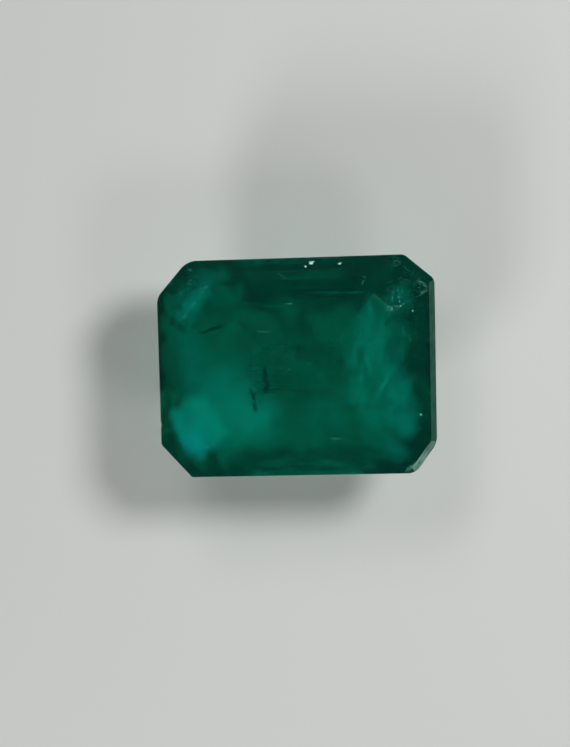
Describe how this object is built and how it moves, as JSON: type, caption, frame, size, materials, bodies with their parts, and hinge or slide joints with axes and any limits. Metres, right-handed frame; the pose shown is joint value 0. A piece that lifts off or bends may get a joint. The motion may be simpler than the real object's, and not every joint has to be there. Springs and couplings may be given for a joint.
{
  "type": "faceted emerald gemstone",
  "caption": "Loose step-cut emerald: an octagonal faceted green gemstone with a flat table, stepped crown and pavilion and a small flat culet to rest on.",
  "frame": {"origin": "middle of the stone's outline, on the surface that the culet rests on", "axes": "+X along the long side, +Y along the short side, +Z from the culet up through the table"},
  "size_m": [0.0122, 0.0096, 0.0057],
  "materials": {
    "emerald": "polished facets with a ground girdle, deep bluish green, lightly included"
  },
  "bodies": {
    "root": {"emerald": "emerald"}
  },
  "joints": []
}
